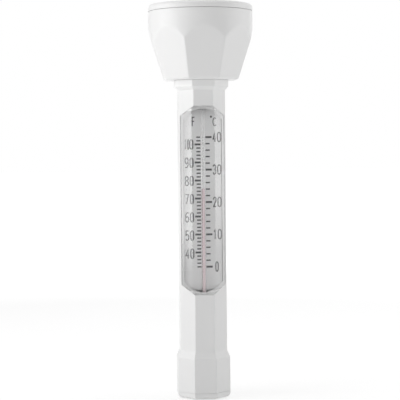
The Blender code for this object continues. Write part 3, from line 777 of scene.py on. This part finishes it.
def octagon_reach(apothem, radius, turn):
    """Distance from the axis to a rounded octagon, at an angle from the middle of a side."""
    turn = abs(turn)
    flat_end = (apothem - radius) * tan(HALF_SIDE)
    if apothem * tan(turn) <= flat_end:
        return apothem / cos(turn)
    centre = (apothem - radius) / cos(HALF_SIDE)
    offset = HALF_SIDE - turn
    return centre * cos(offset) + sqrt(radius * radius - (centre * sin(offset)) ** 2)


def head_turns():
    """The side and angle of each of the head's columns, close together near the octagon's corners."""
    turns = []
    for side in range(SIDES):
        for step in range(HEAD_COLUMNS_PER_SIDE):
            share = 2 * step / HEAD_COLUMNS_PER_SIDE - 1
            crowded = sin(share * pi / 2)
            turns.append((side, HALF_SIDE * (share + HEAD_COLUMN_CROWDING * (crowded - share))))
    return turns


def head_loop(apothem, height, limit):
    """Loop of the faceted funnel where it is inside the drum, and of the drum elsewhere."""
    loop = []
    for side, turn in head_turns():
        facet = octagon_reach(apothem, HEAD_EDGE_RADIUS, turn)
        reach = smooth_least(facet, limit, HEAD_ARCH_SOFTNESS)
        angle = -pi / 2 + 2 * HALF_SIDE * side + turn
        loop.append((reach * cos(angle), reach * sin(angle), height))
    return loop


def facet_apothem(height):
    """Distance from the axis to the funnel's facets at a height."""
    slope = (HEAD_RADIUS - HEAD_FOOT_APOTHEM) / HEAD_FACET_HEIGHT
    return HEAD_FOOT_APOTHEM + slope * (height - HEAD_BOTTOM)


def head_outside():
    """Loops of the head's outside, from the neck to the rounded upper edge."""
    corners = [
        (NECK_APOTHEM, HEAD_BOTTOM),
        (HEAD_FOOT_APOTHEM, HEAD_BOTTOM, HEAD_FOOT_FILLET),
        (facet_apothem(HEAD_TOP), HEAD_TOP),
    ]
    lower = rounded_profile(corners, FINE_ARC_STEPS)[:-1]
    loops = [head_loop(apothem, height, HEAD_RADIUS) for apothem, height in lower]
    start = lower[-1].y
    rise = HEAD_TOP - HEAD_RIM_RADIUS - start
    rows = round(rise / HEAD_ROW_SPACING)
    for row in range(1, rows + 1):
        height = start + rise * row / rows
        loops.append(head_loop(facet_apothem(height), height, HEAD_RADIUS))
    for step in range(1, HEAD_RIM_STEPS + 1):
        angle = pi / 2 * step / HEAD_RIM_STEPS
        limit = HEAD_RADIUS - HEAD_RIM_RADIUS * (1 - cos(angle))
        height = HEAD_TOP - HEAD_RIM_RADIUS * (1 - sin(angle))
        loops.append(head_loop(facet_apothem(HEAD_TOP), height, limit))
    return loops


def head_inside():
    """Loops of the head's inside, from the upper edge down to the neck."""
    bore = HEAD_RADIUS - HEAD_WALL
    loops = [head_loop(facet_apothem(HEAD_TOP), HEAD_TOP, bore)]
    for row in reversed(range(HEAD_BORE_ROWS)):
        height = HEAD_FLOOR_TOP + (HEAD_TOP - HEAD_FLOOR_TOP) * row / HEAD_BORE_ROWS
        loops.append(head_loop(facet_apothem(height) - HEAD_WALL, height, bore))
    loops.append(head_loop(NECK_APOTHEM, HEAD_FLOOR_TOP, bore))
    return loops


def make_head():
    """Hollow drum whose lower part runs into an octagonal funnel."""
    shape = loft(head_outside() + head_inside(), closed=True)
    head = make_piece("head_shell", shape, WHITE_PLASTIC, HEAD_SMOOTH_ANGLE)
    even_normals(head)
    finish_piece(head, "float", "white_plastic", "float_head")


def make_lid():
    """Round lid with a sunk panel and a skirt inside the head."""
    panel_top = LID_TOP - LID_PANEL_DEPTH
    panel_bottom = panel_top - LID_SHEET
    skirt_inner = LID_SKIRT_RADIUS - LID_SKIRT_WALL
    profile = profile_to_axis(
        [
            (LID_PANEL_RADIUS, panel_top, LID_PANEL_EDGE_RADIUS),
            (LID_PANEL_RADIUS + LID_PANEL_DEPTH, LID_TOP, LID_PANEL_EDGE_RADIUS),
            (HEAD_RADIUS, LID_TOP, LID_EDGE_RADIUS),
            (HEAD_RADIUS, LID_BOTTOM, SEAM_EDGE_RADIUS),
            (LID_SKIRT_RADIUS, LID_BOTTOM),
            (LID_SKIRT_RADIUS, LID_SKIRT_BOTTOM, LID_SKIRT_EDGE_RADIUS),
            (skirt_inner, LID_SKIRT_BOTTOM, LID_SKIRT_EDGE_RADIUS),
            (skirt_inner, panel_bottom),
            (0, panel_bottom),
            (0, panel_top),
        ]
    )
    lid = make_piece("lid_shell", loft([circle(*point) for point in profile]), WHITE_PLASTIC)
    even_normals(lid)
    finish_piece(lid, "float", "white_plastic", "float_lid")


def make_foot_cap():
    """Cap under the foot with a round lower edge and a plug in the sleeve."""
    corners = [
        (FOOT_APOTHEM, 0, CAP_EDGE_RADIUS),
        (FOOT_APOTHEM, CAP_HEIGHT, SEAM_EDGE_RADIUS),
        (CAP_PLUG_APOTHEM, CAP_HEIGHT),
        (CAP_PLUG_APOTHEM, CAP_PLUG_TOP, CAP_PLUG_EDGE_RADIUS),
        (0, CAP_PLUG_TOP),
        (0, 0),
    ]
    profile = profile_to_axis(corners, CAP_ARC_STEPS)
    loops = [rounded_octagon(apothem, SLEEVE_EDGE_RADIUS, height) for apothem, height in profile]
    cap = make_piece("foot_shell", loft(loops), WHITE_PLASTIC)
    even_normals(cap)
    finish_piece(cap, "float", "white_plastic", "foot_cap")


# Window cover, its ledge and the scale plate

def arched_outline(half_width, radius, lower_inset, upper_inset):
    """An outline in the window as (x, z) points, with round ends set in from the window's own."""
    low = WINDOW_BOTTOM + lower_inset
    high = WINDOW_TOP - upper_inset
    reach = asin(half_width / radius)
    arch = []
    for step in range(ARCH_STEPS + 1):
        angle = reach * (1 - 2 * step / ARCH_STEPS)
        arch.append((radius * sin(angle), radius * (1 - cos(angle))))
    upper = [(x, high - rise) for x, rise in arch]
    lower = [(x, low + rise) for x, rise in reversed(arch)]
    return upper + lower


def lens_rod(wall, side_wall, radius):
    """Rod with the cover's three front faces, moved in by the walls."""
    side = WINDOW_HALF_WIDTH + CUT_THROUGH
    front = LENS_FRONT - wall
    reach = LENS_HALF_FLAT + LENS_FRONT - side_wall / cos(2 * HALF_SIDE)
    flat = reach - front
    corners = [
        (side, side - reach),
        (flat, -front, radius),
        (-flat, -front, radius),
        (-side, side - reach),
    ]
    section = rounded_profile(corners)
    heights = (WINDOW_BOTTOM - CUT_THROUGH, WINDOW_TOP + CUT_THROUGH)
    return loft([[(x, y, height) for x, y in section] for height in heights])


def window_filling(name, material):
    """Block that fills the window, less a fine gap all round."""
    return make_piece(name, prism(window_outline(LENS_VISUAL_GAP), WINDOW_FRONT, LENS_BACK), material)


def make_lens():
    """Clear faceted cover over the window."""
    lens = window_filling("window_cover", LENS_CLEAR)
    combine(lens, "INTERSECT", lens_rod(0, 0, LENS_EDGE_RADIUS))
    combine(lens, "DIFFERENCE", lens_rod(LENS_WALL, LENS_SIDE_WALL, LENS_INNER_EDGE_RADIUS))
    shade(lens, LENS_SMOOTH_ANGLE)
    even_normals(lens)
    finish_piece(lens, "float", "clear_plastic", "window_lens")


def make_seat():
    """Ledge that the cover lies on, notched at both ends for the stem."""
    gap = LENS_VISUAL_GAP
    seat = window_filling("window_seat", WHITE_PLASTIC)
    combine(seat, "INTERSECT", lens_rod(LENS_WALL + gap, LENS_SIDE_WALL + gap, LENS_INNER_EDGE_RADIUS))
    # The pocket leaves only low rails along the sides, with an opening between them
    pocket = arched_outline(
        RAIL_POCKET_HALF_WIDTH, RAIL_POCKET_RADIUS, SEAT_LOWER_WALL - RAIL_STEP, SEAT_UPPER_WALL - RAIL_STEP
    )
    combine(seat, "DIFFERENCE", prism(pocket, WINDOW_FRONT, RAIL_FRONT))
    half_width = WINDOW_HALF_WIDTH - SEAT_SIDE_WALL
    opening = arched_outline(half_width, SEAT_ARCH_RADIUS, SEAT_LOWER_WALL, SEAT_UPPER_WALL)
    combine(seat, "DIFFERENCE", prism(opening, WINDOW_FRONT - RAIL_STEP, CUT_THROUGH))
    for low in (WINDOW_BOTTOM - CUT_THROUGH, WINDOW_TOP - CUT_THROUGH):
        high = low + 2 * CUT_THROUGH
        notch = [(-SEAT_NOTCH, low), (SEAT_NOTCH, low), (SEAT_NOTCH, high), (-SEAT_NOTCH, high)]
        combine(seat, "DIFFERENCE", prism(notch, STEM_Y - SEAT_NOTCH, CUT_THROUGH + RAIL_STEP))
    shade(seat, SHEET_SMOOTH_ANGLE)
    even_normals(seat)
    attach(seat, "float")


def make_plate():
    """White scale plate with slightly round ends."""
    lower_inset = SEAT_LOWER_WALL + PLATE_LOWER_GAP
    upper_inset = SEAT_UPPER_WALL + PLATE_UPPER_GAP
    outline = arched_outline(PLATE_HALF_WIDTH, PLATE_ARCH_RADIUS, lower_inset, upper_inset)
    shape = prism(outline, PLATE_FRONT, PLATE_BACK)
    plate = make_piece("plate_sheet", shape, PLATE_WHITE, SHEET_SMOOTH_ANGLE)
    finish_piece(plate, "float", "scale_white", "scale_plate")


# Stem and spirit

def turned_on_stem(name, profile, material):
    """A piece turned round the stem's own axis."""
    shape = loft([circle(radius, height, STEM_SIDES) for radius, height in profile])
    bmesh.ops.translate(shape, vec=(STEM_X, STEM_Y, 0), verts=shape.verts[:])
    return make_piece(name, shape, material, STEM_SMOOTH_ANGLE)


def make_stem():
    """Drawn glass tube with a bulb below."""
    bulb_bore = BULB_RADIUS - BULB_WALL
    bore_bottom = STEM_BOTTOM + BULB_WALL
    profile = rounded_profile(
        [
            (BULB_TIP_RADIUS, STEM_BOTTOM),
            (BULB_RADIUS, STEM_BOTTOM, BULB_RADIUS - BULB_TIP_FLAT),
            (BULB_RADIUS, BULB_TOP, BULB_SHOULDER_RADIUS),
            (STEM_RADIUS, CAPILLARY_BOTTOM, BULB_SHOULDER_RADIUS),
            (STEM_RADIUS, STEM_TOP, STEM_END_RADIUS),
            (STEM_BORE_RADIUS, STEM_TOP, STEM_BORE_EDGE_RADIUS),
            (STEM_BORE_RADIUS, CAPILLARY_BOTTOM - BULB_WALL),
            (bulb_bore, BULB_TOP - BULB_WALL),
            (bulb_bore, bore_bottom, bulb_bore - BULB_TIP_FLAT),
            (BULB_TIP_RADIUS, bore_bottom),
        ],
        FINE_ARC_STEPS,
    )
    stem = turned_on_stem("stem_tube", profile, STEM_GLASS)
    finish_piece(stem, "float", "glass", "glass_stem")


def make_spirit():
    """One column of spirit between the bulb and the reading."""
    rise = READING_HEIGHT - MENISCUS_HEIGHT - CAPILLARY_BOTTOM
    profile = []
    for row in range(SPIRIT_ROWS + 1):
        profile.append((SPIRIT_RADIUS, CAPILLARY_BOTTOM + rise * row / SPIRIT_ROWS))
    profile.append((SPIRIT_RADIUS * MENISCUS_SHOULDER_SHARE, READING_HEIGHT - MENISCUS_SHOULDER))
    profile.append((SPIRIT_RADIUS * MENISCUS_TIP_SHARE, READING_HEIGHT))
    column = turned_on_stem("spirit_column", profile, SPIRIT)
    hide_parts("spirit_thread_upper", "spirit_thread_lower")
    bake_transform(column)


# Printed scale

def arc(x, y, across, along, start, end, steps=STROKE_STEPS):
    """Points of an elliptical arc between two angles in degrees."""
    points = []
    for step in range(steps + 1):
        angle = radians(start + (end - start) * step / steps)
        points.append((x + across * cos(angle), y + along * sin(angle)))
    return points


def ring(x, y, across, along, start, end):
    """Points of an arc that closes on itself, or nearly so."""
    return arc(x, y, across, along, start, end, RING_STEPS)


# Strokes of each sign, in a box of width 1 and height 1
SIGNS = {
    "0": [arc(0.5, 0.72, 0.5, 0.28, 0, 180) + arc(0.5, 0.28, 0.5, 0.28, 180, 360) + [(1, 0.72)]],
    "1": [[(0.15, 0.78), (0.6, 1), (0.6, 0)]],
    "2": [arc(0.5, 0.73, 0.5, 0.27, 175, -35) + [(0, 0), (1, 0)]],
    "3": [arc(0.46, 0.76, 0.48, 0.24, 165, -90), arc(0.46, 0.27, 0.54, 0.27, 90, -165)],
    "4": [[(0.72, 0), (0.72, 1), (0, 0.3), (1, 0.3)]],
    "5": [[(0.92, 1), (0.12, 1), (0.06, 0.52)] + arc(0.48, 0.31, 0.52, 0.31, 140, -150)],
    "6": [arc(0.62, 0.6, 0.62, 0.4, 60, 180) + ring(0.5, 0.3, 0.5, 0.3, 180, -180)],
    "7": [[(0, 1), (1, 1), (0.35, 0)]],
    "8": [ring(0.5, 0.76, 0.44, 0.24, -90, 270), ring(0.5, 0.26, 0.5, 0.26, 90, 450)],
    "9": [ring(0.5, 0.7, 0.5, 0.3, 0, 360) + arc(0.38, 0.4, 0.62, 0.4, 0, -120)],
    "F": [[(0, 0), (0, 1), (1, 1)], [(0, 0.55), (0.85, 0.55)]],
    "C": [ring(0.55, 0.5, 0.55, 0.5, 50, 310)],
}


def add_stroke(shape, points, width):
    """A flat ribbon along points (x, z) on the plate's front."""
    path = [Vector(point) for point in points]
    back = PLATE_FRONT
    front = PLATE_FRONT - PRINT_THICKNESS
    loops = []
    for index, here in enumerate(path):
        before = (here - path[index - 1]).normalized() if index else None
        after = (path[index + 1] - here).normalized() if index + 1 < len(path) else None
        before = before or after
        after = after or before
        tangent = (before + after).normalized()
        side = Vector((-tangent.y, tangent.x))
        spread = width / 2 / max(LEAST_MITRE, side.dot(Vector((-after.y, after.x))))
        left = here + side * spread
        right = here - side * spread
        printed = [(left.x, front, left.y), (right.x, front, right.y)]
        bonded = [(right.x, back, right.y), (left.x, back, left.y)]
        loops.append(printed + bonded)
    add_skin(shape, loops)


def add_sign(shape, sign, left, bottom, width, height, stroke=DIGIT_STROKE):
    """One sign whose strokes stay inside its box."""
    inner_width = width - stroke
    inner_height = height - stroke
    for points in SIGNS[sign]:
        moved = []
        for x, z in points:
            moved.append((left + stroke / 2 + x * inner_width, bottom + stroke / 2 + z * inner_height))
        add_stroke(shape, moved, stroke)


def height_of_celsius(reading):
    """Height of a reading in degrees Celsius."""
    return SCALE_ZERO_HEIGHT + DEGREE_PITCH * reading


def height_of_fahrenheit(reading):
    """Height of a reading in degrees Fahrenheit."""
    return height_of_celsius((reading - FAHRENHEIT_FREEZING) / FAHRENHEIT_PER_CELSIUS)


def add_tick(shape, reading, height, inner, short_outer, long_outer):
    """A tick at a reading, long and thick if the reading has a number."""
    if reading % LABEL_STEP:
        add_stroke(shape, [(inner, height), (short_outer, height)], TICK_THICKNESS)
    else:
        add_stroke(shape, [(inner, height), (long_outer, height)], LONG_TICK_THICKNESS)


def add_label(shape, reading, height, boxes):
    """A number, one digit to a box, with its middle at a height."""
    for sign, (left, width) in zip(str(reading), boxes):
        add_sign(shape, sign, left, height - DIGIT_HEIGHT / 2, width, DIGIT_HEIGHT)


def add_celsius(shape):
    """Ticks and numbers right of the stem."""
    for reading in range(0, CELSIUS_TOP + 1, TICK_STEP):
        height = height_of_celsius(reading)
        add_tick(shape, reading, height, C_TICK_INNER, C_SHORT_OUTER, C_LONG_OUTER)
    for reading in range(0, CELSIUS_TOP + 1, LABEL_STEP):
        boxes = [C_TENS, C_ONES] if reading else [C_SINGLE]
        add_label(shape, reading, height_of_celsius(reading), boxes)


def add_fahrenheit(shape):
    """Ticks and numbers left of the stem; the numbers lie a little below their ticks."""
    for reading in range(FAHRENHEIT_FREEZING, FAHRENHEIT_TOP + 1, TICK_STEP):
        height = height_of_fahrenheit(reading)
        add_tick(shape, reading, height, F_TICK_INNER, F_SHORT_OUTER, F_LONG_OUTER)
    for reading in range(F_FIRST_LABEL, FAHRENHEIT_TOP + 1, LABEL_STEP):
        boxes = [F_TENS, F_ONES] if reading < F_HUNDRED else [F_HUNDRED_ONE, F_HUNDRED_TEN, F_ONES]
        drop = F_LABEL_DROP - F_LABEL_DROP_PER_DEGREE * (reading - F_FIRST_LABEL)
        add_label(shape, reading, height_of_fahrenheit(reading) - drop, boxes)


def make_print():
    """Ticks, numbers and unit signs printed on the plate."""
    shape = bmesh.new()
    add_celsius(shape)
    add_fahrenheit(shape)
    add_sign(shape, "F", *F_SIGN_PLACE, *F_SIGN_SIZE)
    add_sign(shape, "C", *C_SIGN_PLACE, *C_SIGN_SIZE, C_SIGN_STROKE)
    add_stroke(shape, ring(*DEGREE_PLACE, DEGREE_RADIUS, DEGREE_RADIUS, 0, 360), DEGREE_STROKE)
    scale = make_piece("scale_print", shape, INK, SHEET_SMOOTH_ANGLE)
    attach(scale, "float")


# Pieces that keep their solid

def dress(name, material):
    """Give a node's own mesh a material."""
    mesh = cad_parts[name].data
    mesh.materials.clear()
    mesh.materials.append(material)


def dress_nodes():
    """Materials of the pieces that keep their solid."""
    for name in ("lid_seal", "neck_gasket", "stem_cap", "bulb_bush", "foot_seal"):
        dress(name, RUBBER)
    for name in ("neck_lock_ring", "stem_clip_upper", "stem_clip_lower", "upper_carrier", "lower_carrier"):
        dress(name, CARRIER_PLASTIC)
    dress("ballast_weight", STEEL)
    dress("bulb_spirit", SPIRIT)


# Stage

def make_camera():
    """Camera with the view of the photograph."""
    data = bpy.data.cameras.new("photo_camera")
    data.lens = CAMERA_LENS
    data.sensor_width = SENSOR
    data.clip_start = CAMERA_CLIP_START * MM
    camera = bpy.data.objects.new("photo_camera", data)
    bpy.context.scene.collection.objects.link(camera)
    turn = Matrix.Rotation(radians(CAMERA_AZIMUTH), 4, "Z")
    tilt = Matrix.Rotation(radians(90 - CAMERA_PITCH), 4, "X")
    roll = Matrix.Rotation(radians(CAMERA_ROLL), 4, "Z")
    camera.matrix_world = Matrix.Translation(Vector(CAMERA_PLACE) * MM) @ turn @ tilt @ roll
    bpy.context.scene.camera = camera


def add_lamp(name, place, size, power):
    """A softbox aimed at the object."""
    data = bpy.data.lights.new(name, "AREA")
    data.shape = "RECTANGLE"
    data.size = size[0] * MM
    data.size_y = size[1] * MM
    data.energy = power
    lamp = bpy.data.objects.new(name, data)
    bpy.context.scene.collection.objects.link(lamp)
    lamp.location = Vector(place) * MM
    aim = Vector(LAMP_AIM) * MM - lamp.location
    lamp.rotation_euler = aim.to_track_quat("-Z", "Y").to_euler()
    return data


def fade_lower_edge(data):
    """Let a softbox fall off towards its lower edge, so that its mirror image has no hard end."""
    data.use_nodes = True
    tree = data.node_tree
    geometry = tree.nodes.new("ShaderNodeNewGeometry")
    split = tree.nodes.new("ShaderNodeSeparateXYZ")
    tree.links.new(geometry.outputs["Parametric"], split.inputs["Vector"])
    level = map_range(tree, split.outputs["Y"], FADE_START, FADE_END, FADE_LEVEL, 1)
    tree.links.new(level, tree.nodes["Emission"].inputs["Strength"])


def make_lights():
    """Softboxes at both sides, above and behind."""
    fade_lower_edge(add_lamp("left_softbox", **LEFT_LAMP))
    fade_lower_edge(add_lamp("left_front_softbox", **LEFT_FRONT_LAMP))
    fade_lower_edge(add_lamp("right_softbox", **RIGHT_LAMP))
    add_lamp("top_softbox", **TOP_LAMP)
    add_lamp("back_softbox", **BACK_LAMP)


def seen_directly(tree):
    """One for what the camera sees, less for a gloss, and zero for the light on a matt surface."""
    paths = tree.nodes.new("ShaderNodeLightPath").outputs
    gloss = mathematics(tree, "MULTIPLY", paths["Is Glossy Ray"], GLOSS_SHARE)
    sight = mathematics(tree, "MAXIMUM", paths["Is Camera Ray"], paths["Is Transmission Ray"])
    sight = mathematics(tree, "MAXIMUM", sight, gloss)
    unscattered = mathematics(tree, "LESS_THAN", paths["Diffuse Depth"], 1)
    return mathematics(tree, "MULTIPLY", sight, unscattered)


def make_world():
    """Even light from all round, which looks white to the camera."""
    world = bpy.data.worlds.new("studio")
    bpy.context.scene.world = world
    world.use_nodes = True
    tree = world.node_tree
    background = tree.nodes["Background"]
    background.inputs["Color"].default_value = WHITE
    level = map_range(tree, seen_directly(tree), 0, 1, WORLD_LIGHT, WORLD_GLOW)
    tree.links.new(level, background.inputs["Strength"])


def by_distance(tree, near, far, near_level, far_level):
    """A level on the floor that changes with the distance from the object, in millimetres."""
    coordinates = tree.nodes.new("ShaderNodeTexCoord")
    distance = tree.nodes.new("ShaderNodeVectorMath")
    distance.operation = "LENGTH"
    tree.links.new(coordinates.outputs["Object"], distance.inputs[0])
    return map_range(tree, distance.outputs["Value"], near * MM, far * MM, near_level, far_level)


def make_floor():
    """White floor that keeps the object's shadow."""
    material, tree, shader = new_material("studio_floor")
    shader.inputs["Base Color"].default_value = FLOOR_COLOUR
    shader.inputs["Roughness"].default_value = FLOOR_ROUGHNESS
    shader.inputs["Emission Color"].default_value = WHITE
    # Glow that lights the object, weaker near it: painted light from below with painted shade close to the
    # foot
    light = by_distance(tree, **FLOOR_LIGHT)
    glow = by_distance(tree, **FLOOR_GLOW)
    level = map_range(tree, seen_directly(tree), 0, 1, light, glow)
    tree.links.new(level, shader.inputs["Emission Strength"])
    shape = bmesh.new()
    bmesh.ops.create_grid(shape, x_segments=1, y_segments=1, size=FLOOR_HALF_SIZE)
    floor = make_piece("floor", shape, material)
    floor.location.z = -FLOOR_DROP * MM


make_sleeve()
make_head()
make_lid()
make_foot_cap()
make_lens()
make_seat()
make_plate()
make_stem()
make_spirit()
make_print()
dress_nodes()
make_camera()
make_world()
make_floor()
make_lights()
bpy.context.scene.view_settings.view_transform = "Standard"
